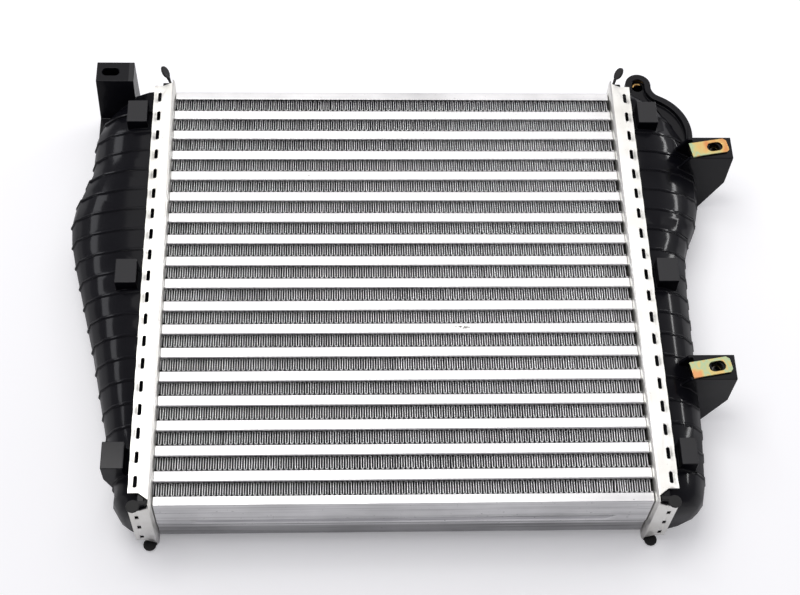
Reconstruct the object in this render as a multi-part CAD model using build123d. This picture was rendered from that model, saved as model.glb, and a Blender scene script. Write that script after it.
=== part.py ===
from build123d import *
from math import acos, cos, degrees, pi, radians, sin
import os

os.makedirs("parts", exist_ok=True)

# An air-to-air charge cooler lying on its back, in millimetres.
# X runs along the tubes, Y across the stack of tubes, Z up out of the front face.
# The origin is the centre of the core's front face, on the middle tube.

# Core
tube_count = 17
tube_thickness = 7.8
tube_depth = 50.0
tube_wall = 0.9
tube_edge = 0.7
tube_stickout = 0.9
tube_neck = 0.4
core_length = 310.0
fin_height = 9.5
fin_sheet = 0.35
fin_folds = 9
fin_recess = 0.8
fin_end_gap = 0.3
side_plate_thickness = 6.2
side_plate_wall = 1.3
side_plate_end_gap = 0.4
step_height = 19.0
step_depth = 1.0
bead_height = 5.0
bead_rise = 1.3
bead_drop = 26.0
bead_end_margin = 22.0

# Headers: pressed trays whose walls are crimped over the tank feet
header_sheet = 1.6
header_wall_width = 14.2
header_rise = 6.8
header_bend = 2.4
header_near_margin = 3.0
header_far_margin = 6.5
slot_count = 19
end_slot_count = 3
slot_pitch = 16.29
end_slot_pitch = 15.6
end_slot_drop = 2.0
end_slot_length = 5.0
slot_length = 8.0
slot_width = 2.5
slot_offset = 10.0
near_relief_along = 8.8
far_relief_along = 6.0
relief_down = 8.0
relief_slope = 6.0
cutter_overrun = 1.0

# Rubber seals between the header floors and the tank feet
seal_thickness = 2.5
seal_width = 3.3
seal_side_gap = 0.2
seal_tab_radius = 4.2
seal_tab_thickness = 1.5
seal_tab_sides = 12
seal_tab_neck = 2.2
seal_tab_reach = 9.2
seal_tab_lean = 26.0
seal_tab_inset = 0.9
seal_tab_outset = 0.4
seal_tab_gap = 0.3

# Moulded tanks
foot_thickness = 4.4
foot_side_gap = 0.3
tank_wall = 3.0
tank_inset = 3.4
bow_sides = 8
end_inset = 0.5
rib_thickness = 1.8
left_rib_rise = 0.9
right_rib_rise = 0.4
rib_front_rise = 1.1
header_clearance = 0.6

# Stand-off blocks, level with the mounting plane
mounting_rise = 8.0
block_size_y = 18.5
block_gap = 3.6
block_drop = 8.0
block_root_taper = 5.0
# the place and the width of each, on the left and on the right
left_blocks = ((135.5, 14.0), (5.0, 14.0), (-127.5, 14.0))
right_blocks = ((135.5, 14.0), (5.0, 14.0), (-127.5, 10.5))

# Ports: round sockets that face the back, level with the rear walls
port_bore_radius = 21.0
port_wall = 3.2
port_depth = 20.0
port_throat_step = 3.0
port_shelf = 3.0
port_back_gap = 0.5
left_port_y = 60.0
right_port_y = 103.0

# Left post with its slotted screw hole
post_width = 26.5
post_depth = 17.0
post_gap = 15.0
post_offset = -8.6
post_lean = 8.0
post_foot_drop = 25.0
post_back_drop = 48.0
post_foot_run = 54.0
post_slot_length = 12.0
post_slot_width = 6.4
post_slot_depth = 22.0
post_slot_shift = 3.2

# Right brackets with spring nuts
bracket_length = 30.0
bracket_width = 18.0
bracket_plate = 3.0
bracket_web = 2.2
bracket_side_height = 30.0
bracket_places = (105.5, -68.0)
bracket_stands = (37.6, 17.0)
bracket_root = ((17.0, -55.5), (-6.0, -55.5), (-14.0, -25.0), (-9.0, -10.0))
nut_sheet = 1.2
nut_length = 27.0
nut_width = 11.6
nut_window_length = 11.0
nut_window_width = 7.0
nut_tongue_width = 7.0
nut_barrel_radius = 4.4
nut_barrel_height = 4.0
nut_thread_radius = 2.6
nut_hole_inset = 9.5
nut_turn = 10.0
nut_corner = 2.0
nut_leaf_gap = 0.3
nut_bend_gap = 1.6
screw_clearance = 3.6

# Right shroud round the port, with an ear for a brass insert. Both centres are measured
# from the header's wall and from the tank's far end
shroud_radius = 37.0
shroud_offset = (10.3, -27.6)
ear_radius = 9.4
ear_offset = (12.2, 15.9)
ear_blend = 9.0
shroud_rim = 4.8
shroud_drop = 15.0
shroud_floor_drop = 18.5
shroud_back_drop = 36.0
insert_radius = 3.65
insert_thread_radius = 2.5
insert_length = 12.0

# Reach of each tank beyond its foot, from its near end to its far end:
# the place as a share of the tank's half-length, then the reach
left_reach = (
    (-1.0, 10.5), (-0.985, 14.0), (-0.94, 18.2), (-0.90, 17.8), (-0.815, 20.2), (-0.28, 38.0),
    (0.15, 55.0), (0.275, 59.2), (0.365, 60.4), (0.44, 58.8), (0.53, 54.4),
    (0.62, 49.0), (0.805, 48.4), (0.90, 42.0), (1.0, 28.0),
)
right_reach = (
    (-1.0, 18.0), (-0.985, 23.0), (-0.952, 27.1), (-0.878, 29.8), (-0.64, 32.8), (0.005, 35.4),
    (0.18, 37.2), (0.25, 40.6), (0.335, 46.8), (0.44, 50.8), (0.625, 53.2),
    (0.77, 49.0), (0.90, 38.0), (0.96, 28.0), (1.0, 20.0),
)
end_depth_shares = (0.80, 0.93)

# Worked out from the sizes above
tube_pitch = tube_thickness + fin_height
fin_count = tube_count + 1
half_stack = (tube_count * tube_thickness + fin_count * fin_height) / 2
mid_z = -tube_depth / 2
header_x = core_length / 2
header_half_depth = tube_depth / 2 + header_rise
header_near_y = -half_stack - side_plate_thickness - header_near_margin
header_far_y = half_stack + side_plate_thickness + header_far_margin
header_y = (header_near_y + header_far_y) / 2
header_half_length = (header_far_y - header_near_y) / 2
floor_x = header_x + header_sheet
inner_half_depth = header_half_depth - header_sheet
inner_half_length = header_half_length - header_sheet
foot_x = floor_x + seal_thickness
tank_x = foot_x + foot_thickness
wall_x = header_x + header_wall_width
slot_x = header_x + slot_offset
foot_half_depth = inner_half_depth - foot_side_gap
foot_half_length = inner_half_length - foot_side_gap
tank_half_depth = foot_half_depth - tank_inset
tank_half_length = foot_half_length - end_inset
back_z = mid_z - header_half_depth
port_radius = port_bore_radius + port_wall
port_x = wall_x + header_clearance + port_radius
bracket_starts = tuple(wall_x + stand for stand in bracket_stands)
tank_far_y = header_y + tank_half_length
shroud_centre = (wall_x + shroud_offset[0], tank_far_y + shroud_offset[1])
ear_centre = (wall_x + ear_offset[0], tank_far_y + ear_offset[1])
port_mouth_z = back_z + port_back_gap


def box(x0, x1, y0, y1, z0, z1):
    """A block between two corners."""
    size = (x1 - x0, y1 - y0, z1 - z0)
    centre = ((x0 + x1) / 2, (y0 + y1) / 2, (z0 + z1) / 2)
    return Pos(*centre) * Box(*size)


def prism(points, plane, height):
    """A straight-sided solid on an outline of points."""
    outline = plane * make_face(Polyline(*points, close=True))
    return extrude(outline, height, dir=plane.z_dir)


def save(shape, name):
    """Write one node."""
    shape.label = name
    export_step(shape, "parts/" + name + ".step")


def flat_tube():
    """A flat tube with one web; its ends are necked, and seat against the header floors."""
    half_run = floor_x + tube_stickout
    outline = chamfer(Rectangle(tube_thickness, tube_depth).vertices(), tube_edge)
    channel_depth = (tube_depth - 3 * tube_wall) / 2
    channel = Rectangle(tube_thickness - 2 * tube_wall, channel_depth)
    shift = (channel_depth + tube_wall) / 2
    body = extrude(Plane.YZ.offset(-header_x) * outline, core_length)
    body += extrude(Plane.YZ.offset(-half_run) * neck_outline(), 2 * half_run)
    for way in (-shift, shift):
        body -= extrude(Plane.YZ.offset(-half_run) * Pos(0, way) * channel, 2 * half_run)
    return Pos(0, 0, mid_z) * body


def neck_outline():
    """The outline of a tube's necked end, and of its hole in the header."""
    return Rectangle(tube_thickness - 2 * tube_neck, tube_depth - 2 * tube_neck)


def fin_row():
    """One folded strip that fills the gap between two tubes."""
    steps = 2 * fin_folds
    run = core_length - 2 * fin_end_gap
    half_fold = run / steps
    lean = degrees(acos(half_fold / (half_fold**2 + fin_height**2) ** 0.5))
    sheet = fin_sheet / cos(radians(lean))
    crests, troughs = [], []
    for i in range(steps + 1):
        x = i * half_fold - run / 2
        side = 1 if i % 2 else -1
        outer = side * fin_height / 2
        inner = outer - side * sheet
        crests.append((x, max(outer, inner)))
        troughs.append((x, min(outer, inner)))
    base = Plane.XY.offset(-tube_depth + fin_recess)
    return prism(crests + troughs[::-1], base, tube_depth - 2 * fin_recess)


def side_plate():
    """A hollow side section for the far side, with a step and a stiffening bead."""
    t, wall, depth = side_plate_thickness, side_plate_wall, tube_depth
    half_run = header_x - side_plate_end_gap
    low = -depth
    outer = [(0, 0), (t, 0), (t, low + step_height), (t - step_depth, low + step_height - step_depth)]
    outer += [(t - step_depth, low), (0, low)]
    inner = [(wall, -wall), (t - wall, -wall), (t - wall, low + step_height)]
    inner += [(t - wall - step_depth, low + step_height - step_depth)]
    inner += [(t - wall - step_depth, low + wall), (wall, low + wall)]
    start = Plane.YZ.offset(-half_run)
    shell = prism(outer, start, 2 * half_run) - prism(inner, start, 2 * half_run)
    bead_run = half_run - bead_end_margin
    root, tip = bead_height / 2, bead_height / 4
    base = Plane.XZ.offset(-t) * Pos(0, -bead_drop)
    foot = base * Rectangle(2 * bead_run, 2 * root)
    crown = Plane.XZ.offset(-t - bead_rise) * Pos(0, -bead_drop)
    crown = crown * Rectangle(2 * bead_run - 2 * bead_height, 2 * tip)
    bead = loft([foot, crown], ruled=True)
    return Pos(0, half_stack, 0) * (shell + bead)


def slot_row(count, pitch, length, plane):
    """Cutters for a row of crimp slots, centred on a plane's origin along its local Y."""
    cut = Box(slot_width, length, 4 * header_sheet)
    first = -(count - 1) * pitch / 2
    return [plane * Pos(0, first + i * pitch) * cut for i in range(count)]


def header():
    """The right-hand tray: floor pierced by the tubes, walls slotted for crimping."""
    tray = box(header_x, wall_x, header_near_y, header_far_y,
               mid_z - header_half_depth, mid_z + header_half_depth)
    tray = fillet(tray.edges().group_by(Axis.X)[0], header_bend)
    tray -= box(floor_x, wall_x, header_near_y + header_sheet, header_far_y - header_sheet,
                mid_z - inner_half_depth, mid_z + inner_half_depth)
    hole = extrude(Plane.YZ * neck_outline(), floor_x)
    for i in range(tube_count):
        tray -= Pos(0, tube_y(i), mid_z) * hole
    cutters = []
    for level in (-1, 1):
        wall = Plane((slot_x, header_y, mid_z + level * header_half_depth), (1, 0, 0), (0, 0, 1))
        cutters += slot_row(slot_count, slot_pitch, slot_length, wall)
        cutters += corner_relief(header_near_y, -1, near_relief_along, level)
        cutters += corner_relief(header_far_y, 1, far_relief_along, level)
    for end in (header_near_y, header_far_y):
        wall = Plane((slot_x, end, mid_z - end_slot_drop), (1, 0, 0), (0, -1, 0))
        cutters += slot_row(end_slot_count, end_slot_pitch, end_slot_length, wall)
    return tray - cutters


def corner_relief(edge_y, side, along, level):
    """Cutters that open one corner of the tray between its long and its end wall."""
    edge_z = mid_z + level * header_half_depth
    flat = Plane.XY.offset(edge_z - 2 * header_sheet)
    upright = Plane((0, edge_y + 2 * header_sheet, 0), (1, 0, 0), (0, -1, 0))
    cutters = []
    for plane, edge, out, run in ((flat, edge_y, side, along), (upright, edge_z, level, relief_down)):
        outline = [(floor_x, edge + out * cutter_overrun), (wall_x, edge + out * cutter_overrun)]
        outline += [(wall_x, edge - out * run), (floor_x + relief_slope, edge - out * run)]
        outline += [(floor_x, edge - out * run / 2)]
        cutters.append(prism(outline, plane, 4 * header_sheet))
    return cutters


def seal():
    """The right-hand rubber frame, with a tab at each corner that marks it from outside."""
    half_d = inner_half_depth - seal_side_gap
    half_l = inner_half_length - seal_side_gap
    ring = Box(seal_thickness, 2 * half_l, 2 * half_d)
    ring -= Box(seal_thickness, 2 * (half_l - seal_width), 2 * (half_d - seal_width))
    ring = Pos((floor_x + foot_x) / 2, header_y, mid_z) * ring
    ring += upright_tab() + folded_tab()
    for side in (-1, 1):
        ring += flat_tab(side)
    return ring


def tab_disc():
    """The round head of a seal tab, lying flat."""
    outline = RegularPolygon(seal_tab_radius, seal_tab_sides)
    return Pos(0, 0, -seal_tab_thickness / 2) * extrude(outline, seal_tab_thickness)


def upright_tab():
    """A tab that stands up and outwards through the far front corner gap."""
    lean = radians(seal_tab_lean)
    x = foot_x - seal_tab_thickness / 2
    y = header_far_y - header_sheet - seal_tab_inset
    z = mid_z + inner_half_depth - seal_tab_inset
    rise, drift = seal_tab_reach * cos(lean), seal_tab_reach * sin(lean)
    neck = Rot(-seal_tab_lean, 0, 0) * Box(seal_tab_thickness, seal_tab_neck, seal_tab_reach)
    head = Pos(x, y + drift, z + rise) * Rot(0, 90, 0) * tab_disc()
    return head + Pos(x, y + drift / 2, z + rise / 2) * neck


def folded_tab():
    """A tab that folds over the tank's foot at the near front corner."""
    half_neck = seal_tab_neck / 2
    y = header_near_y + header_sheet + seal_tab_inset
    z0 = mid_z + foot_half_depth + seal_tab_gap / 2
    z1 = z0 + seal_tab_thickness
    back_x = foot_x - seal_tab_thickness
    riser = box(back_x, foot_x, y - half_neck, y + half_neck, z0 - seal_tab_thickness, z1)
    neck = box(back_x, tank_x, y - half_neck, y + half_neck, z0, z1)
    head = Pos(tank_x + seal_tab_neck, y - seal_tab_neck, (z0 + z1) / 2) * tab_disc()
    return riser + neck + head


def flat_tab(side):
    """A tab that lies flat at a back corner, just off the resting plane."""
    z0 = back_z + seal_tab_gap
    z1 = z0 + seal_tab_thickness
    reach = header_half_length + seal_tab_outset
    start = inner_half_length - seal_tab_inset
    near, far = sorted((header_y + side * start, header_y + side * reach))
    head = Pos(foot_x + seal_tab_neck, header_y + side * reach, (z0 + z1) / 2) * tab_disc()
    return box(floor_x, foot_x, near, far, z0, z1) + head


def bow(y, reach, half_depth, root):
    """A half-ellipse face across the tank at one place along it, on a straight root."""
    plane = Plane((tank_x, y, mid_z), (1, 0, 0), (0, -1, 0))
    turns = [pi * i / bow_sides - pi / 2 for i in range(bow_sides + 1)]
    points = [(reach * cos(turn), half_depth * sin(turn)) for turn in turns]
    return plane * make_face(Polyline((-root, -half_depth), *points, (-root, half_depth), close=True))


def bowed_body(reaches, wall, root):
    """The tank's bowed form: half-ellipses that follow its reach, drawn in by a wall."""
    last = len(reaches) - 1
    faces = []
    for i, (place, reach) in enumerate(reaches):
        from_end = min(i, last - i)
        share = end_depth_shares[from_end] if from_end < len(end_depth_shares) else 1
        y = header_y + place * (tank_half_length - wall)
        faces.append(bow(y, reach - wall, share * tank_half_depth - wall, root))
    return loft(faces, ruled=True)


def reach_at(reaches, y):
    """The tank's reach at one place along it."""
    place = (y - header_y) / tank_half_length
    for (a, low), (b, high) in zip(reaches, reaches[1:]):
        if a <= place <= b:
            return low + (high - low) * (place - a) / (b - a)
    return reaches[-1][1]


def rib_set(reaches, rise):
    """Thin ribs that girdle the bowed form, midway between the header's slots."""
    count = slot_count - 1
    ribs = []
    for i in range(count):
        y = header_y + (i - (count - 1) / 2) * slot_pitch
        reach = reach_at(reaches, y) + rise
        depth = tank_half_depth + rib_front_rise
        face = bow(y + rib_thickness / 2, reach, depth, foot_thickness / 2)
        ribs.append(extrude(face, rib_thickness, dir=(0, -1, 0)))
    return ribs


def stand_off(y, width):
    """A square block beside the header, rooted in the tank."""
    x0 = wall_x + block_gap
    x1 = x0 + width
    half = block_size_y / 2
    outline = [(x0, mounting_rise), (x1, mounting_rise), (x1, -block_drop)]
    outline += [(x1 - block_root_taper, mid_z), (x0, mid_z)]
    return prism(outline, Plane((0, y + half, 0), (1, 0, 0), (0, -1, 0)), block_size_y)


def port_socket(y):
    """The socket's outer wall, from its mouth to the shelf inside the tank."""
    height = port_depth + port_shelf
    return Pos(port_x, y, port_mouth_z + height / 2) * Cylinder(port_radius, height)


def port_hollow(y):
    """The socket's bore and the narrower throat that opens into the tank."""
    bore = Pos(port_x, y, port_mouth_z + port_depth / 2) * Cylinder(port_bore_radius, port_depth)
    height = port_depth + 2 * port_shelf
    throat = Cylinder(port_bore_radius - port_throat_step, height)
    return [bore, Pos(port_x, y, port_mouth_z + height / 2) * throat]


def tank_shell(reaches, rise, port_y, blocks, extras):
    """A tank: foot, bowed shell, ribs, blocks and port, hollow inside."""
    foot = Pos((foot_x + tank_x) / 2, header_y, mid_z)
    foot *= Box(foot_thickness, 2 * foot_half_length, 2 * foot_half_depth)
    solid = bowed_body(reaches, 0, foot_thickness / 2) + foot + rib_set(reaches, rise)
    solid += [stand_off(*block) for block in blocks] + extras
    shell = solid - bowed_body(reaches, tank_wall, foot_thickness + cutter_overrun)
    return shell + port_socket(port_y) - port_hollow(port_y)


def post():
    """The upright beside the left tank's far end, on a long foot, with a slotted hole in its top."""
    x0 = wall_x + post_gap
    y0 = tank_far_y + post_offset
    side = [(y0 + post_lean, mounting_rise), (y0 + post_lean + post_depth, mounting_rise)]
    side += [(y0 + post_lean + post_depth, -post_back_drop), (y0 - post_foot_run, -post_back_drop)]
    side += [(y0 - post_foot_run, -post_foot_drop), (y0, -post_foot_drop)]
    body = prism(side, Plane.YZ.offset(x0), post_width)
    middle = (x0 + post_width / 2 + post_slot_shift, y0 + post_lean + post_depth / 2)
    slot = SlotOverall(post_slot_length, post_slot_width)
    slot = Pos(*middle, mounting_rise - post_slot_depth) * extrude(slot, post_slot_depth)
    return body, slot


def bracket(y, start):
    """An outboard bracket: a top plate on two webs that taper down into the tank."""
    top = plate_top()
    x0, x1 = start, start + bracket_length
    half = bracket_width / 2
    plate = box(x0 + nut_sheet + nut_bend_gap, x1, y - half, y + half, top - bracket_plate, top)
    outline = [(x0, top), (x1, top), (x1, top - bracket_side_height)]
    outline += [(x0 + x, z) for x, z in bracket_root]
    near = prism(outline, Plane((0, y - half + bracket_web, 0), (1, 0, 0), (0, -1, 0)), bracket_web)
    far = Pos(0, bracket_width - bracket_web, 0) * near
    hole = Pos(x0 + nut_hole_x(), y, top) * Cylinder(screw_clearance, 4 * bracket_plate)
    return plate + near + far, hole


def plate_top():
    """The height of a bracket's plate, which leaves the nut's leaf level with the mounting plane."""
    return mounting_rise - nut_sheet - nut_leaf_gap


def nut_hole_x():
    """How far the nut's hole lies from the bracket's inner end."""
    return nut_length - nut_hole_inset


def spring_nut():
    """A folded spring nut, drawn with its screw axis on Z and the plate's top at zero."""
    back, half_tongue = -nut_hole_x(), nut_tongue_width / 2
    leaf_top, low = nut_leaf_gap + nut_sheet, -bracket_plate - nut_leaf_gap
    under = low - nut_sheet
    leaf = box(back, back + nut_length, -nut_width / 2, nut_width / 2, nut_leaf_gap, leaf_top)
    leaf = chamfer(leaf.edges().filter_by(Axis.Z).group_by(Axis.X)[-1], nut_corner)
    leaf -= extrude(SlotOverall(nut_window_length, nut_window_width), leaf_top)
    bend = box(back, back + nut_sheet, -half_tongue, half_tongue, under, leaf_top)
    tongue = box(back, nut_barrel_radius + nut_sheet, -half_tongue, half_tongue, under, low)
    barrel = Pos(0, 0, under - nut_barrel_height / 2) * Cylinder(nut_barrel_radius, nut_barrel_height)
    thread_length = nut_barrel_height + nut_sheet
    thread = Pos(0, 0, low - thread_length / 2) * Cylinder(nut_thread_radius, thread_length)
    return leaf + bend + (tongue + barrel - thread)


def shroud():
    """A rimmed apron round the far end of the right tank, with an ear for an insert."""
    big = Pos(*shroud_centre) * Circle(shroud_radius)
    ear = Pos(*ear_centre) * Circle(ear_radius)
    outline = big + ear
    outline = fillet(outline.vertices().filter_by(lambda v: v.Y > shroud_centre[1]), ear_blend)
    inner = offset(outline, -shroud_rim, kind=Kind.INTERSECTION)
    keep = wall_x + header_clearance
    clear_y = header_far_y + header_clearance
    base = Plane.XY.offset(-shroud_back_drop)
    body = extrude(base * outline, shroud_back_drop - shroud_drop)
    body -= extrude(Plane.XY.offset(-shroud_floor_drop) * inner, shroud_floor_drop)
    body -= box(0, keep, 0, clear_y, -shroud_back_drop, 0)
    hole = Pos(*ear_centre, -shroud_floor_drop - insert_length / 2)
    return body, hole * Cylinder(insert_radius, insert_length)


def threaded_insert():
    """The brass insert in the shroud's ear."""
    bush = Cylinder(insert_radius, insert_length) - Cylinder(insert_thread_radius, insert_length)
    return Pos(*ear_centre, -shroud_floor_drop - insert_length / 2) * bush


def tube_y(i):
    """The middle of tube number i, counted from the near side."""
    return (i - (tube_count - 1) / 2) * tube_pitch


def flipped(shape):
    """The same piece on the left-hand side."""
    return mirror(shape, Plane.YZ)


def build_core():
    tube, fin = flat_tube(), fin_row()
    for i in range(tube_count):
        save(Pos(0, tube_y(i), 0) * tube, f"tube_{i + 1:02d}")
    for i in range(fin_count):
        save(Pos(0, tube_y(i) - tube_pitch / 2, 0) * fin, f"fin_{i + 1:02d}")
    plate = side_plate()
    save(plate, "side_plate_far")
    save(mirror(plate, Plane.XZ), "side_plate_near")
    tray, frame = header(), seal()
    save(tray, "header_right")
    save(flipped(tray), "header_left")
    save(frame, "seal_right")
    save(flipped(frame), "seal_left")


def build_left_tank():
    upright, slot = post()
    left = tank_shell(left_reach, left_rib_rise, left_port_y, left_blocks, [upright]) - slot
    save(flipped(left), "tank_left")


def build_right_tank():
    apron, insert_hole = shroud()
    extras, holes = [apron], [insert_hole]
    for number, (y, start) in enumerate(zip(bracket_places, bracket_starts), 1):
        arm, hole = bracket(y, start)
        extras.append(arm)
        holes.append(hole)
        place = Pos(start + nut_hole_x(), y, plate_top()) * Rot(0, 0, nut_turn)
        save(place * spring_nut(), f"spring_nut_{number}")
    right = tank_shell(right_reach, right_rib_rise, right_port_y, right_blocks, extras) - holes
    save(right, "tank_right")
    save(threaded_insert(), "threaded_insert")


build_core()
build_left_tank()
build_right_tank()
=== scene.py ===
import math

import bmesh
import bpy
from mathutils import Matrix, Vector, noise


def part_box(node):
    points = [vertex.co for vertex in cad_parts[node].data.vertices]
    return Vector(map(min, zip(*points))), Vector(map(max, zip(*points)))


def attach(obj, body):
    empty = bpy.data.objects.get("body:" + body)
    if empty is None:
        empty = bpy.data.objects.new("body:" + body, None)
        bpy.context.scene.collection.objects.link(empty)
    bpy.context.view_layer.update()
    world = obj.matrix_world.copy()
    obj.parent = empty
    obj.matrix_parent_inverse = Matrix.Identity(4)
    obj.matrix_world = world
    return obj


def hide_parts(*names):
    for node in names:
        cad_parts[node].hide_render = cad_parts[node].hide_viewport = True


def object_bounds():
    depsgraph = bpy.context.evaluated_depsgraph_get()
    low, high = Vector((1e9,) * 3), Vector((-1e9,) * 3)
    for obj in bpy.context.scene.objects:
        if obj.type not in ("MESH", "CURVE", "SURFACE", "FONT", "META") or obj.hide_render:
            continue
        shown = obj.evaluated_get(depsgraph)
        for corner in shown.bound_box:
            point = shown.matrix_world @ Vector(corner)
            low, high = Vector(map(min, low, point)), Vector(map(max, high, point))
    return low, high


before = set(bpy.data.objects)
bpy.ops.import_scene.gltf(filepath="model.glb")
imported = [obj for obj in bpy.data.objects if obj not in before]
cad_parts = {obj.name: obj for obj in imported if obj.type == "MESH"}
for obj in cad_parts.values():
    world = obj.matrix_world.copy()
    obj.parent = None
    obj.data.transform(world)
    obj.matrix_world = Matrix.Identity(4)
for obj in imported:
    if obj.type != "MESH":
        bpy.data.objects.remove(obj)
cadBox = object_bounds()
mm = 0.001
tiny = 1e-6  # metres
scene = bpy.context.scene
scene.view_settings.view_transform = "Standard"

# measures that the looks and the shapes share, in millimetres
coreSpec = {"middle": -25.0, "half": 25.0}  # its depth, in z
slotSpec = {"x": 165.0, "middle": 1.75, "pitch": 16.29, "count": 19}  # the row along each tray wall


# shader nodes
noiseSpan = (0.3, 0.7)  # where most of a noise lies
bumpDepth = 0.1 * mm


def setSocket(node, name, value):  # a name such as n6 is the socket's number
    isNumber = name[0] == "n" and name[1:].isdigit()
    socket = node.inputs[int(name[1:]) if isNumber else name.replace("_", " ")]
    if isinstance(value, bpy.types.NodeSocket):
        node.id_data.links.new(value, socket)
    else:
        socket.default_value = value


def nodeMaker(tree):
    def make(kind, **sockets):
        node = tree.nodes.new("ShaderNode" + kind)
        for name, value in sockets.items():
            setSocket(node, name, value)
        return node

    return make


def mathNode(make, operation, first, second=0.0):
    node = make("Math", n0=first, n1=second)
    node.operation = operation
    return node.outputs[0]


def product(make, first, *others):
    for other in others:
        first = mathNode(make, "MULTIPLY", first, other)
    return first


def mixValue(make, factor, first, second):
    return make("Mix", n0=factor, n2=first, n3=second).outputs[0]


def mixColour(make, factor, first, second):
    mix = make("Mix", n0=factor)
    mix.data_type = "RGBA"
    for name, value in (("n6", first), ("n7", second)):
        setSocket(mix, name, (*value, 1) if isinstance(value, tuple) else value)
    return mix.outputs[2]


def remap(make, value, start, stop, low, high):
    node = make("MapRange", Value=value, From_Min=start, From_Max=stop, To_Min=low, To_Max=high)
    return node.outputs[0]


def rise(make, value, start, stop):
    return remap(make, value, start, stop, 0, 1)


def fall(make, value, start, stop):
    return remap(make, value, start, stop, 1, 0)


def ramp(make, factor, stops):
    node = make("ValToRGB", Fac=factor)
    band = node.color_ramp
    while len(band.elements) < len(stops):
        band.elements.new(0.5)
    for element, (place, colour) in zip(band.elements, stops):
        element.position = place
        element.color = (*colour, 1)
    return node.outputs[0]


def inMetres(span):
    return [value * mm for value in span]


def axisOf(make, axis):
    parts = make("SeparateXYZ", Vector=make("TexCoord").outputs["Object"])
    return parts.outputs["XYZ".index(axis)]


def distanceFrom(make, axis, middle=0.0):  # from a middle in millimetres
    return mathNode(make, "ABSOLUTE", mathNode(make, "ADD", axisOf(make, axis), -middle * mm))


def faceDepth(make):  # how deep under the core's nearer face
    return mathNode(make, "SUBTRACT", coreSpec["half"] * mm, distanceFrom(make, "Z", coreSpec["middle"]))


def stretchedNoise(make, scale, detail, roughness=0.55):
    place = make("TexCoord").outputs["Object"]
    mapping = make("Mapping", Vector=place, Scale=scale)
    cloud = make("TexNoise", Vector=mapping.outputs[0], Scale=1.0, Detail=detail, Roughness=roughness)
    return cloud.outputs[0]


def addBump(make, shader, height, strength):
    bump = make("Bump", Height=height, Strength=strength, Distance=bumpDepth)
    setSocket(shader, "Normal", bump.outputs[0])


def newMaterial(name, colour, **finish):
    material = bpy.data.materials.new(name)
    material.use_nodes = True
    material.diffuse_color = (*colour, 1)
    shader = material.node_tree.nodes["Principled BSDF"]
    setSocket(shader, "Base_Color", (*colour, 1))
    for socket, value in finish.items():
        setSocket(shader, socket, value)
    return material, shader, nodeMaker(material.node_tree)


# camera, lamps and floor
viewSpec = {
    "place": (-0.0469, -0.52735, 0.8865),
    "yaw": 5.2495,  # degrees, as are the next two
    "pitch": 59.7049,
    "roll": -4.3602,
    "lens": 69.86,
    "sensor": 36.0,
    "clip": (0.01, 20),
}


def addCamera(spec):
    yaw, pitch, roll = (math.radians(spec[key]) for key in ("yaw", "pitch", "roll"))
    flat = math.cos(pitch)
    forward = Vector((math.sin(yaw) * flat, math.cos(yaw) * flat, -math.sin(pitch)))
    level = Vector((math.cos(yaw), -math.sin(yaw), 0))
    down = forward.cross(level)
    right = level * math.cos(roll) + down * math.sin(roll)
    up = level * math.sin(roll) - down * math.cos(roll)
    data = bpy.data.cameras.new("camera")
    data.lens, data.sensor_width = spec["lens"], spec["sensor"]
    data.clip_start, data.clip_end = spec["clip"]
    camera = bpy.data.objects.new("camera", data)
    turn = Matrix((right, up, -forward)).transposed().to_4x4()
    camera.matrix_world = Matrix.Translation(spec["place"]) @ turn
    scene.collection.objects.link(camera)
    scene.camera = camera


lampSpecs = {  # metres and watts
    "farBox": {
        "place": (0.0, 0.80, 1.40), "aim": (0, 0, 0), "size": (1.8, 1.0),
        "power": 6.6, "colour": (1, 0.99, 0.97),
    },
    "overBox": {
        "place": (-0.35, 0.1, 1.6), "aim": (0, 0, 0), "size": (0.9, 0.9),
        "power": 10.5, "colour": (1, 0.99, 0.97),
    },
    "rightStrip": {
        "place": (1.1, 0.58, 0.46), "aim": (0.18, 0, 0), "size": (0.9, 0.07),
        "power": 4.2, "colour": (1, 1, 1),
    },
    "leftStrip": {
        "place": (-1.15, 0.62, 0.50), "aim": (-0.18, 0, 0), "size": (0.6, 0.22),
        "power": 1.7, "colour": (0.95, 0.96, 1),
    },
}


def addLamps(specs):
    for name, spec in specs.items():
        data = bpy.data.lights.new(name, "AREA")
        data.shape = "RECTANGLE"
        data.size, data.size_y = spec["size"]
        data.energy, data.color = spec["power"], spec["colour"]
        lamp = bpy.data.objects.new(name, data)
        lamp.location = spec["place"]
        way = Vector(spec["aim"]) - Vector(spec["place"])
        lamp.rotation_euler = way.to_track_quat("-Z", "Y").to_euler()
        scene.collection.objects.link(lamp)


worldSpec = {
    "fill": 0.30,  # on matt surfaces
    "gloss": 0.36,  # in reflections
    "seen": 1.0,  # behind the object, in plain white
    "shade": (0.94, 0.915, 1.0),
}


def addWorld(spec):
    world = bpy.data.worlds.new("studio")
    world.use_nodes = True
    make = nodeMaker(world.node_tree)
    path = make("LightPath").outputs
    lit = mixValue(make, path["Is Glossy Ray"], spec["fill"], spec["gloss"])
    back = world.node_tree.nodes["Background"]
    setSocket(back, "Strength", mixValue(make, path["Is Camera Ray"], lit, spec["seen"]))
    setSocket(back, "Color", mixColour(make, path["Is Camera Ray"], spec["shade"], (1, 1, 1)))
    scene.world = world


floorSpec = {
    "half": 3.0,  # metres, as is the next one
    "gap": 0.0001,
    "colour": (0.93, 0.935, 0.955),
    "finish": {"Roughness": 0.9, "Specular_IOR_Level": 0.1, "Emission_Color": (1, 1, 1, 1)},
    "glow": 0.21,  # for the camera alone
}


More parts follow.
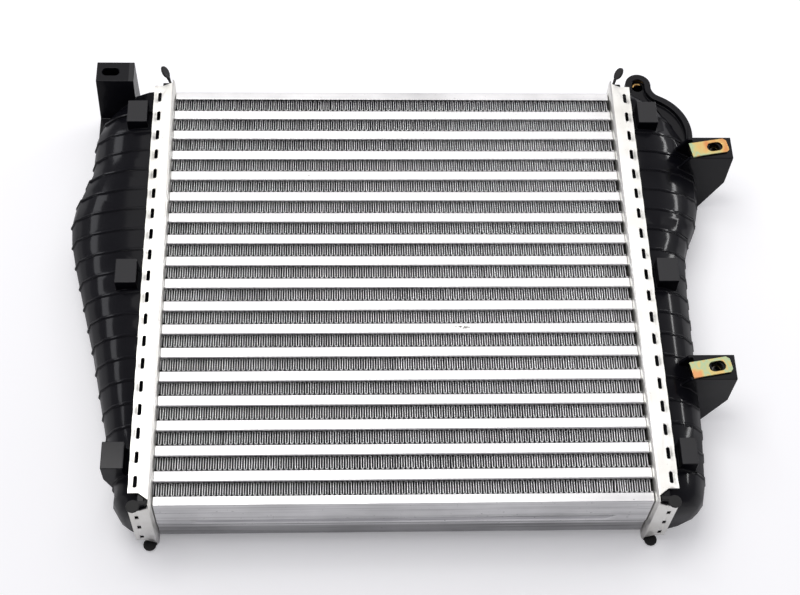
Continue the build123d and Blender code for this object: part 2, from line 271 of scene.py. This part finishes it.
def addFloor(spec):
    bm = bmesh.new()
    bmesh.ops.create_grid(bm, x_segments=1, y_segments=1, size=spec["half"])
    bmesh.ops.translate(bm, verts=bm.verts, vec=(0, 0, cadBox[0].z - spec["gap"]))
    floor = meshObject("floor", bm)
    material, shader, make = newMaterial("paperFloor", spec["colour"], **spec["finish"])
    toCamera = make("LightPath").outputs["Is Camera Ray"]
    setSocket(shader, "Emission_Strength", mathNode(make, "MULTIPLY", toCamera, spec["glow"]))
    floor.data.materials.append(material)


# materials: a noise is its steps to a metre in x, y and z, then its detail
rollSpec = {  # what the three rolled sheets share
    "cloud": ((26, 40, 26), 3),
    "cloudSpan": (0.35, 0.7),
    "speck": ((420, 700, 420), 1.5),
    "speckSpan": (0.70, 0.76),
    "speckTone": 0.45,
    "gloss": (-0.08, 0.1),  # how far the roughness drifts down and up
    "bump": 0.25,
    "shadow": (0.03, 0.03, 0.031),
    "scuff": (0.06, 0.055, 0.04),
    "scuffEdge": (0.4, 1.0),  # share of the mark's size
    "scuffNoise": ((620, 620, 620), 3),
    "scuffSpan": (0.44, 0.56),
    "scuffTone": 0.1,
}


def rolledSheet(name, spec, darkIn):
    roughness = spec["roughness"]
    material, shader, make = newMaterial(name, spec["bright"], Roughness=roughness, Metallic=1.0)
    cloud = rise(make, stretchedNoise(make, *rollSpec["cloud"]), *rollSpec["cloudSpan"])
    skin = mixColour(make, cloud, spec["bright"], spec["dull"])
    spots = stretchedNoise(make, *rollSpec["speck"])
    spots = remap(make, spots, *rollSpec["speckSpan"], 0, spec["speck"])
    skin = mixColour(make, spots, skin, tuple(v * rollSpec["speckTone"] for v in spec["dull"]))
    if spec["marks"]:
        skin = mixColour(make, scuffs(make, spec["marks"], rollSpec), skin, rollSpec["scuff"])
    # painted shade where darkIn says, with the plate's streaks mixed in too
    setSocket(shader, "Base_Color", mixColour(make, darkIn(make, spec), skin, rollSpec["shadow"]))
    lines = stretchedNoise(make, *spec["grain"])
    smoother, rougher = (roughness + drift for drift in rollSpec["gloss"])
    setSocket(shader, "Roughness", remap(make, lines, *noiseSpan, smoother, rougher))
    addBump(make, shader, lines, rollSpec["bump"])
    return material


def scuffs(make, marks, spec):  # a mark is its middle in x and y, its half-length and half-width
    total = None
    for x, y, along, across in marks:
        spanX = mathNode(make, "DIVIDE", distanceFrom(make, "X", x), along * mm)
        spanY = mathNode(make, "DIVIDE", distanceFrom(make, "Y", y), across * mm)
        squares = mathNode(make, "ADD", product(make, spanX, spanX), product(make, spanY, spanY))
        near = fall(make, mathNode(make, "SQRT", squares), *spec["scuffEdge"])
        total = near if total is None else mathNode(make, "MAXIMUM", total, near)
    broken = stretchedNoise(make, *spec["scuffNoise"])
    return product(make, total, remap(make, broken, *spec["scuffSpan"], spec["scuffTone"], 1))


tubeSheet = {
    "bright": (0.93, 0.93, 0.93),
    "dull": (0.86, 0.86, 0.85),
    "roughness": 0.42,
    "grain": ((14, 900, 400), 4),
    "speck": 0.5,
    "shade": (1.2, 5.0),  # millimetres under the core's face, from clear to dark
    "marks": ((41.0, -34.2, 7.2, 1.5), (44.5, 12.0, 0.5, 0.8), (-60.0, 86.0, 0.5, 0.7)),  # millimetres
}


def channelShade(make, spec):
    return rise(make, faceDepth(make), *inMetres(spec["shade"]))


headerSheet = {
    "bright": (0.92, 0.915, 0.88),
    "dull": (0.80, 0.79, 0.74),
    "roughness": 0.40,
    "grain": ((300, 40, 300), 4),
    "speck": 0.35,
    "marks": (),
    # where the painted shade on the tray's inner faces and slot walls lies
    "insideX": (157.6, 158.0),  # millimetres, as are the next ones
    "insideY": (162.1, 162.5),
    "insideZ": (30.7, 31.4),
    # where the painted shade of the crimp dents lies, and how dark
    "crimpStart": (165.9, 166.9),
    "crimpEnd": (167.3, 169.0),
    "crimpWall": (29.2, 30.2),
    "crimpAlong": (0.10, 0.36),  # share of the slots' pitch
    "crimpEndTone": 0.25,
    "crimpTone": 0.62,
    "cloud": ((210, 150, 210), 3),
    "cloudSpan": (0.38, 0.6),
    "cloudTone": 0.35,
}


def crimpDentShade(make, spec):  # painted shade of the crimp dents: soft grey beside each slot, where the tool pressed
    fromMiddle = mathNode(make, "ADD", axisOf(make, "Y"), -slotSpec["middle"] * mm)
    steps = mathNode(make, "DIVIDE", fromMiddle, slotSpec["pitch"] * mm)
    share = mathNode(make, "FRACT", mathNode(make, "ADD", steps, 0.5))
    away = mathNode(make, "ABSOLUTE", mathNode(make, "ADD", share, -0.5))
    x = distanceFrom(make, "X")
    starts = rise(make, x, *inMetres(spec["crimpStart"]))
    fades = remap(make, x, *inMetres(spec["crimpEnd"]), 1, spec["crimpEndTone"])
    place = product(make, fall(make, away, *spec["crimpAlong"]), product(make, starts, fades))
    height = distanceFrom(make, "Z", coreSpec["middle"])
    wall = remap(make, height, *inMetres(spec["crimpWall"]), 0, spec["crimpTone"])
    cloud = stretchedNoise(make, *spec["cloud"])
    cloud = remap(make, cloud, *spec["cloudSpan"], spec["cloudTone"], 1)
    return product(make, place, product(make, wall, cloud))


def trayInside(make, spec):  # painted shade on the inner faces and the slots' own walls, and of the crimp dents
    past = rise(make, distanceFrom(make, "X"), *inMetres(spec["insideX"]))
    along = fall(make, distanceFrom(make, "Y", slotSpec["middle"]), *inMetres(spec["insideY"]))
    deep = fall(make, distanceFrom(make, "Z", coreSpec["middle"]), *inMetres(spec["insideZ"]))
    return mathNode(make, "MAXIMUM", crimpDentShade(make, spec), product(make, past, along, deep))


plateSheet = {
    "bright": (0.86, 0.86, 0.86),
    "dull": (0.70, 0.70, 0.70),
    "roughness": 0.36,
    "grain": ((10, 500, 700), 4),
    "speck": 0.6,
    "marks": ((-141.1, -154.6, 0.45, 1.6),),  # millimetres, as is the next one
    "span": (-50, -20),
    "band": (  # share of the span and how dark: painted shade over the lower step and then under the bead
        (0.010, 0.02), (0.045, 0.04), (0.070, 0.46), (0.44, 0.42), (0.50, 0.06),
        (0.56, 0.08), (0.58, 0.93), (0.64, 0.90), (0.67, 0.03), (0.95, 0.0),
    ),
    "streak": ((9, 9, 420), 3),
    "streakSpan": (0.35, 0.65),
    "streakTone": (-0.12, 0.22),
}


# painted shade over the lower step and under the bead, plus darker streaks along the sheet
def plateRecess(make, spec):
    height = rise(make, axisOf(make, "Z"), *inMetres(spec["span"]))
    band = ramp(make, height, [(place, (tone,) * 3) for place, tone in spec["band"]])
    streak = remap(make, stretchedNoise(make, *spec["streak"]), *spec["streakSpan"], *spec["streakTone"])
    return mathNode(make, "ADD", band, mathNode(make, "MAXIMUM", streak, 0.0))


stripSpec = {
    "colour": (0.6, 0.6, 0.6),
    "finish": {"Roughness": 0.36, "Metallic": 1.0},
    "pitch": 17.3,  # millimetres from row to row
    "across": (  # share of the pitch and colour: painted light on the near loops, painted shade on the far ones
        (0.24, (1, 1, 1)), (0.40, (0.97, 0.97, 0.96)),
        (0.60, (0.80, 0.80, 0.80)), (0.74, (0.20, 0.20, 0.20)),
    ),
    "shade": (0.25, 1.5),  # millimetres under the core's face, from clear to dark
    # painted shade deep in the fins, with painted light towards the right
    "inner": ((0, (0.016, 0.017, 0.017)), (1, (0.17, 0.17, 0.17))),
    "innerSpan": (-60, 150),  # millimetres in x
    "grain": ((200, 60, 500), 4),
    "gloss": (0.3, 0.45),
}


def foldedStrip(spec):
    material, shader, make = newMaterial("finAluminium", spec["colour"], **spec["finish"])
    share = mathNode(make, "FRACT", mathNode(make, "DIVIDE", axisOf(make, "Y"), spec["pitch"] * mm))
    # painted light and shade across each row, then painted shade under the core's face
    across = ramp(make, share, spec["across"])
    shade = rise(make, faceDepth(make), *inMetres(spec["shade"]))
    inner = ramp(make, rise(make, axisOf(make, "X"), *inMetres(spec["innerSpan"])), spec["inner"])
    setSocket(shader, "Base_Color", mixColour(make, shade, across, inner))
    grain = stretchedNoise(make, *spec["grain"])
    setSocket(shader, "Roughness", remap(make, grain, *noiseSpan, *spec["gloss"]))
    return material


plasticSpec = {
    "colour": (0.006, 0.006, 0.0075),
    "finish": {"Roughness": 0.4, "Specular_IOR_Level": 0.05, "Coat_Weight": 0.24, "Coat_Roughness": 0.10},
    "cloud": ((38, 38, 38), 4),
    "tones": ((0.3, (0.0030, 0.0030, 0.0046)), (0.75, (0.0058, 0.0058, 0.0080))),
    "gloss": (0.30, 0.44),
    "grain": ((1900, 1900, 1900), 2),
    "bump": 0.12,
    "top": (0.035, 0.035, 0.037),  # painted light on the duller tops of the blocks, lighter as lit from above
    "topRougher": 0.3,
    "topZ": (7.4, 7.8),  # millimetres, as is the next one
    "topX": (187.6, 188.0),
    "topFacing": (0.8, 0.95),  # how far a face looks up
}


def tankPlastic(spec):
    material, shader, make = newMaterial("tankPlastic", spec["colour"], **spec["finish"])
    cloud = stretchedNoise(make, *spec["cloud"])
    body = ramp(make, cloud, spec["tones"])
    # painted light on the up-facing tops of the blocks
    high = rise(make, axisOf(make, "Z"), *inMetres(spec["topZ"]))
    inner = fall(make, distanceFrom(make, "X"), *inMetres(spec["topX"]))
    up = make("SeparateXYZ", Vector=make("NewGeometry").outputs["Normal"]).outputs[2]
    top = product(make, high, inner, rise(make, up, *spec["topFacing"]))
    setSocket(shader, "Base_Color", mixColour(make, top, body, spec["top"]))
    gloss = remap(make, cloud, *noiseSpan, *spec["gloss"])
    setSocket(shader, "Roughness", mathNode(make, "ADD", gloss, product(make, top, spec["topRougher"])))
    addBump(make, shader, stretchedNoise(make, *spec["grain"]), spec["bump"])
    return material


zincSpec = {
    "colour": (0.62, 0.40, 0.14),
    "finish": {"Roughness": 0.3, "Metallic": 1.0},
    "drift": ((75, 48, 60), 2.5),
    "tones": (
        (0.32, (0.62, 0.26, 0.10)), (0.42, (0.66, 0.42, 0.16)), (0.50, (0.58, 0.48, 0.20)),
        (0.55, (0.38, 0.50, 0.31)), (0.59, (0.58, 0.46, 0.20)), (0.66, (0.66, 0.32, 0.14)),
    ),
    # painted shade on the lower part of the nut, under its leaf
    "under": (0.05, 0.038, 0.02),
    "underZ": (5.0, 6.7),  # millimetres
    "grain": ((600, 90, 600), 3),
    "bump": 0.15,
}


def zincYellow(spec):
    material, shader, make = newMaterial("zincYellow", spec["colour"], **spec["finish"])
    tint = ramp(make, stretchedNoise(make, *spec["drift"]), spec["tones"])
    # painted shade on the lower part
    under = fall(make, axisOf(make, "Z"), *inMetres(spec["underZ"]))
    setSocket(shader, "Base_Color", mixColour(make, under, tint, spec["under"]))
    addBump(make, shader, stretchedNoise(make, *spec["grain"]), spec["bump"])
    return material


rubberSpec = {
    "colour": (0.012, 0.012, 0.012),
    "finish": {"Roughness": 0.62, "Specular_IOR_Level": 0.35},
    "grain": ((900, 900, 900), 3),
    "bump": 0.25,
}
brassSpec = {
    "colour": (0.88, 0.54, 0.19),
    "finish": {"Roughness": 0.34, "Metallic": 0.9},
    "grain": ((200, 200, 2600), 2),
    "bump": 0.3,
}


def evenMaterial(name, spec):
    material, shader, make = newMaterial(name, spec["colour"], **spec["finish"])
    addBump(make, shader, stretchedNoise(make, *spec["grain"]), spec["bump"])
    return material


def makeMaterials():
    made = {
        "tube": rolledSheet("tubeAluminium", tubeSheet, channelShade),
        "fin": foldedStrip(stripSpec),
        "header": rolledSheet("headerAluminium", headerSheet, trayInside),
        "plate": rolledSheet("plateAluminium", plateSheet, plateRecess),
        "tank": tankPlastic(plasticSpec),
        "seal": evenMaterial("sealRubber", rubberSpec),
        "nut": zincYellow(zincSpec),
        "insert": evenMaterial("turnedBrass", brassSpec),
    }
    print("materials", len(made))
    return made


# pieces
copySpec = {"merge": 0.002, "flat": 0.4}  # millimetres and degrees
orderDigits = 8  # decimals of a metre


def meshObject(name, bm):
    data = bpy.data.meshes.new(name)
    bm.to_mesh(data)
    bm.free()
    made = bpy.data.objects.new(name, data)
    scene.collection.objects.link(made)
    return made


def nodeCopy(node):
    bm = bmesh.new()
    bm.from_mesh(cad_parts[node].data)
    bmesh.ops.remove_doubles(bm, verts=bm.verts, dist=copySpec["merge"] * mm)
    flat = math.radians(copySpec["flat"])
    bmesh.ops.dissolve_limit(bm, angle_limit=flat, verts=bm.verts, edges=bm.edges)
    return bm


def middleOf(element):
    corners = [v.co for v in element.verts] if hasattr(element, "verts") else [element.co]
    return [round(sum(corner[axis] for corner in corners) / len(corners), orderDigits) for axis in range(3)]


def keepOrder(bm):  # operators leave new elements in another order at each run
    for elements in (bm.verts, bm.edges, bm.faces):
        rank = {element: place for place, element in enumerate(sorted(elements, key=middleOf))}
        elements.sort(key=rank.get)
        elements.index_update()


def shadeByAngle(made, degrees):
    for face in made.data.polygons:
        face.use_smooth = True
    made.data.set_sharp_from_angle(angle=math.radians(degrees))


def addBevel(made, spec):
    bevel = made.modifiers.new("edges", "BEVEL")
    bevel.width, bevel.segments = spec["width"] * mm, spec["segments"]
    bevel.limit_method, bevel.angle_limit = "ANGLE", math.radians(spec["angle"])
    bevel.use_clamp_overlap = False
    bevel.harden_normals = True
    bevel.miter_outer = "MITER_ARC"


def evenNormals(made):  # wide flats keep their own direction beside a bend
    weigh = made.modifiers.new("normals", "WEIGHTED_NORMAL")
    weigh.keep_sharp = True


def finishPiece(made, node, material):
    for layer in [a for a in made.data.attributes if a.name == "custom_normal"]:
        made.data.attributes.remove(layer)
    made.data.materials.clear()
    made.data.materials.append(material)
    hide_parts(node)
    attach(made, "root")


edgeSpecs = {  # widths in millimetres, angles in degrees
    "tube": {
        "width": 0.45, "segments": 2, "angle": 25, "shade": 40,
        "material": "tube", "slot": "tube_aluminium",
    },
    "side_plate": {
        "width": 0.5, "segments": 2, "angle": 25, "shade": 40,
        "material": "plate", "slot": "plate_aluminium",
    },
    "tank": {
        "width": 0.55, "segments": 2, "angle": 38, "shade": 36,
        "material": "tank", "slot": "tank_plastic",
    },
    "spring_nut": {
        "width": 0.25, "segments": 2, "angle": 40, "shade": 40,
        "material": "nut", "slot": "nut_zinc",
    },
    "threaded_insert": {
        "width": 0.3, "segments": 2, "angle": 40, "shade": 40,
        "material": "insert", "slot": "insert_brass",
    },
}


def dressNodes(kind, spec, materials):
    for node in sorted(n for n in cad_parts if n.startswith(kind)):
        made = meshObject(node + "_finished", nodeCopy(node))
        shadeByAngle(made, spec["shade"])
        addBevel(made, spec)
        finishPiece(made, node, materials[spec["material"]])
    print("dressed", kind)


headerSpec = {  # millimetres, but for the counts, shares and angles
    "cornerNear": 1.4,  # how far a slot's corner lies from the middle of the row
    "cornerEdge": (1, 2),  # the sheet's thickness lies between these
    "corner": 1.1,
    "cornerSteps": 3,
    "cutsX": (0, 1.9, 3.0),
    "cutsY": (-5.2, -3.6, -1.8, 1.8, 3.6, 5.2),
    "cutFrom": 2.5,
    "wallFrom": 0.1,
    "wallLift": 29,
    "endSlots": 0.4,  # steps past the first and last slot
    "dent": 0.6,
    "dentHalf": 5.2,
    "dentRise": 1.3,
    "dentFade": 2.9,
    "dentFaded": 0.6,
    "pull": 0.22,
    "pullFrom": 2.5,
    "pullRise": 1.7,
    "shade": 40,
    "slot": "header_aluminium",
}


def smooth(value):
    value = max(0.0, min(1.0, value))
    return value * value * (3 - 2 * value)


def crimped(node, spec):
    bm = nodeCopy(node)
    upright = [e for e in bm.edges if isSlotCorner(e, spec)]
    bmesh.ops.bevel(bm, geom=upright, offset=spec["corner"] * mm, segments=spec["cornerSteps"],
                    profile=0.5, affect="EDGES", clamp_overlap=True, material=-1)
    bmesh.ops.triangulate(bm, faces=bm.faces)
    side = -1 if node.endswith("left") else 1
    for shift in spec["cutsX"]:
        x = side * (slotSpec["x"] + shift) * mm
        everything = bm.verts[:] + bm.edges[:] + bm.faces[:]
        bmesh.ops.bisect_plane(bm, geom=everything, plane_co=(x, 0, 0), plane_no=(1, 0, 0))
    for number in range(slotSpec["count"]):
        middle = slotSpec["middle"] + (number - (slotSpec["count"] - 1) / 2) * slotSpec["pitch"]
        for shift in spec["cutsY"]:
            cutWalls(bm, (middle + shift) * mm, side, spec)
    for vert in bm.verts:
        pressIn(vert, side, spec)
    keepOrder(bm)
    return bm


def isSlotCorner(edge, spec):
    a, b = (v.co for v in edge.verts)
    upright = abs(a.x - b.x) < tiny and abs(a.y - b.y) < tiny
    beside = abs(abs(a.x) - slotSpec["x"] * mm) < spec["cornerNear"] * mm
    least, most = spec["cornerEdge"]
    return upright and beside and least * mm < abs(a.z - b.z) < most * mm


def cutWalls(bm, y, side, spec):
    low = (slotSpec["x"] - spec["cutFrom"]) * mm
    near = [f for f in bm.faces if side * f.calc_center_median().x > low]
    geom = dict.fromkeys(near)  # unlike a set, it keeps its order
    for face in near:
        geom.update(dict.fromkeys([*face.edges, *face.verts]))
    bmesh.ops.bisect_plane(bm, geom=list(geom), plane_co=(0, y, 0), plane_no=(0, 1, 0))


def pressIn(vert, side, spec):
    past = side * vert.co.x / mm - slotSpec["x"]
    lift = vert.co.z / mm - coreSpec["middle"]
    if past < spec["wallFrom"] or abs(lift) < spec["wallLift"]:
        return
    last = slotSpec["count"] - 1
    steps = (vert.co.y / mm - slotSpec["middle"]) / slotSpec["pitch"] + last / 2
    if not -spec["endSlots"] < steps < last + spec["endSlots"]:
        return
    away = abs(steps - round(steps)) * slotSpec["pitch"]
    along = 1 - smooth(away / spec["dentHalf"])
    faded = 1 - spec["dentFaded"] * smooth((past - spec["dentRise"]) / spec["dentFade"])
    across = smooth(past / spec["dentRise"]) * faded
    outward = smooth((past - spec["pullFrom"]) / spec["pullRise"])
    vert.co.z -= math.copysign(spec["dent"] * along * across * mm, lift)
    vert.co.x -= side * spec["pull"] * along * outward * mm


def addHeaders(spec, materials):
    for node in ("header_left", "header_right"):
        made = meshObject(node + "_finished", crimped(node, spec))
        shadeByAngle(made, spec["shade"])
        evenNormals(made)
        finishPiece(made, node, materials["header"])
    print("headers")


sealSpec = {  # millimetres and degrees
    "tabY": 158.0,
    "tabZ": 7.0,
    "lean": 0.55,  # sideways for each millimetre up
    "width": 0.4,
    "segments": 2,
    "angle": 40,
    "shade": 40,
    "slot": "seal_rubber",
}


def addSeals(spec, materials):
    for node in ("seal_left", "seal_right"):
        bm = nodeCopy(node)
        side = -1 if node.endswith("left") else 1
        base = spec["tabZ"] * mm
        for vert in bm.verts:
            if vert.co.z > base and vert.co.y > spec["tabY"] * mm:
                vert.co.x += side * spec["lean"] * (vert.co.z - base)
        made = meshObject(node + "_finished", bm)
        shadeByAngle(made, spec["shade"])
        addBevel(made, spec)
        finishPiece(made, node, materials["seal"])
    print("seals")


finSpec = {
    "folds": 98,
    "bendSteps": 4,
    "sheet": 0.60,  # millimetres, as are the next ones
    "endGap": 0.2,
    "sideGap": 0.15,
    "merge": 0.01,
    "faceBand": 2.5,
    "faceEdge": 1.0,
    "jitter": 0.42,
    "sink": 0.25,
    "crush": 1.25,
    "crushed": {17: ((-64, -45), (-21, -11)), 0: ((129, 137),)},  # bent runs in a row, from and to in x
    "fineNoise": (260, 7.3, 30),  # steps to a metre in x, to a row, to a metre in z
    "broadNoise": (35, 3.1, 4.0),  # the last one is a fixed place, as is the next
    "crushNoise": (210, 330, 9.0),
    "fineShare": 0.7,
    "deepShare": 0.25,  # how much of it is left under the face
    "endShare": 0.25,
    "crushEndShare": 0.3,
    "shade": 60,
    "slot": "fin_aluminium",
}


def only(kind, result):
    return [g for g in result["geom"] if isinstance(g, kind)]


def bend(bm, vert, centre, turn, steps):
    spun = bmesh.ops.spin(bm, geom=[vert], cent=centre, axis=(0, 0, turn), angle=math.pi,
                          steps=steps, use_merge=False, use_duplicate=False)
    return spun["geom_last"][0]


def foldPath(bm, pitch, height, steps):
    radius = pitch / 4
    leg = height / 2 - radius
    start = bm.verts.new((0, -leg, 0))
    top = bm.verts.new((0, leg, 0))
    bm.edges.new((start, top))
    upper = bend(bm, top, (radius, leg, 0), -1, steps)
    lower = bm.verts.new((2 * radius, -leg, 0))
    bm.edges.new((upper, lower))
    bend(bm, lower, (3 * radius, -leg, 0), 1, steps)


def finSheet(spec, low, high):
    length = high.x - low.x - 2 * spec["endGap"] * mm
    height = high.y - low.y - 2 * spec["sideGap"] * mm - spec["sheet"] * mm
    pitch = length / spec["folds"]
    bm = bmesh.new()
    foldPath(bm, pitch, height, spec["bendSteps"])
    one = bm.verts[:] + bm.edges[:]
    for i in range(1, spec["folds"]):
        more = bmesh.ops.duplicate(bm, geom=one)
        bmesh.ops.translate(bm, verts=only(bmesh.types.BMVert, more), vec=(i * pitch, 0, 0))
    bmesh.ops.remove_doubles(bm, verts=bm.verts, dist=spec["merge"] * mm)
    bmesh.ops.translate(bm, verts=bm.verts, vec=(-length / 2, (low.y + high.y) / 2, high.z))
    front = bm.edges[:]
    band = spec["faceBand"] * mm
    for drop in (band, high.z - low.z - band):
        run = bmesh.ops.extrude_edge_only(bm, edges=front)
        bmesh.ops.translate(bm, verts=only(bmesh.types.BMVert, run), vec=(0, 0, -drop))
        edges = only(bmesh.types.BMEdge, run)
        front = [e for e in edges if abs(e.verts[0].co.z - e.verts[1].co.z) < tiny]
    return bm, height


def roughen(bm, number, spec, low, high, height):
    middle, half = (low.y + high.y) / 2, height / 2
    fineX, fineRow, fineZ = spec["fineNoise"]
    broadX, broadRow, broadPlace = spec["broadNoise"]
    crushX, crushY, crushPlace = spec["crushNoise"]
    bent = spec["crushed"].get(number, ())
    for vert in bm.verts:
        share = 1 - min(1, abs(vert.co.y - middle) / half) ** 2
        depth = 1 if vert.co.z > high.z - spec["faceEdge"] * mm else spec["deepShare"]
        drift = noise.noise((vert.co.x * fineX, number * fineRow, vert.co.z * fineZ))
        broad = noise.noise((vert.co.x * broadX, number * broadRow, broadPlace))
        sway = (drift * spec["fineShare"] + broad) * spec["jitter"] * mm
        vert.co.x += sway * (spec["endShare"] + share) * depth
        vert.co.z += drift * spec["sink"] * mm * depth
        if any(start * mm < vert.co.x < end * mm for start, end in bent):
            push = noise.noise((vert.co.x * crushX, vert.co.y * crushY, crushPlace))
            vert.co.x += push * spec["crush"] * mm * (spec["crushEndShare"] + share) * depth
    keepOrder(bm)
    bmesh.ops.recalc_face_normals(bm, faces=bm.faces)


def addFins(spec, materials):
    rows = sorted(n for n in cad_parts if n.startswith("fin_"))
    for number, node in enumerate(rows):
        low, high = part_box(node)
        bm, height = finSheet(spec, low, high)
        roughen(bm, number, spec, low, high, height)
        made = meshObject("foldedFin_%02d" % (number + 1), bm)
        shadeByAngle(made, spec["shade"])
        wall = made.modifiers.new("sheet", "SOLIDIFY")
        wall.thickness, wall.offset = spec["sheet"] * mm, 0
        finishPiece(made, node, materials["fin"])
    print("fins", len(rows))


addCamera(viewSpec)
addWorld(worldSpec)
addLamps(lampSpecs)
addFloor(floorSpec)
print("studio", len(lampSpecs))
materials = makeMaterials()
addFins(finSpec, materials)
addHeaders(headerSpec, materials)
addSeals(sealSpec, materials)
for kind, spec in edgeSpecs.items():
    dressNodes(kind, spec, materials)
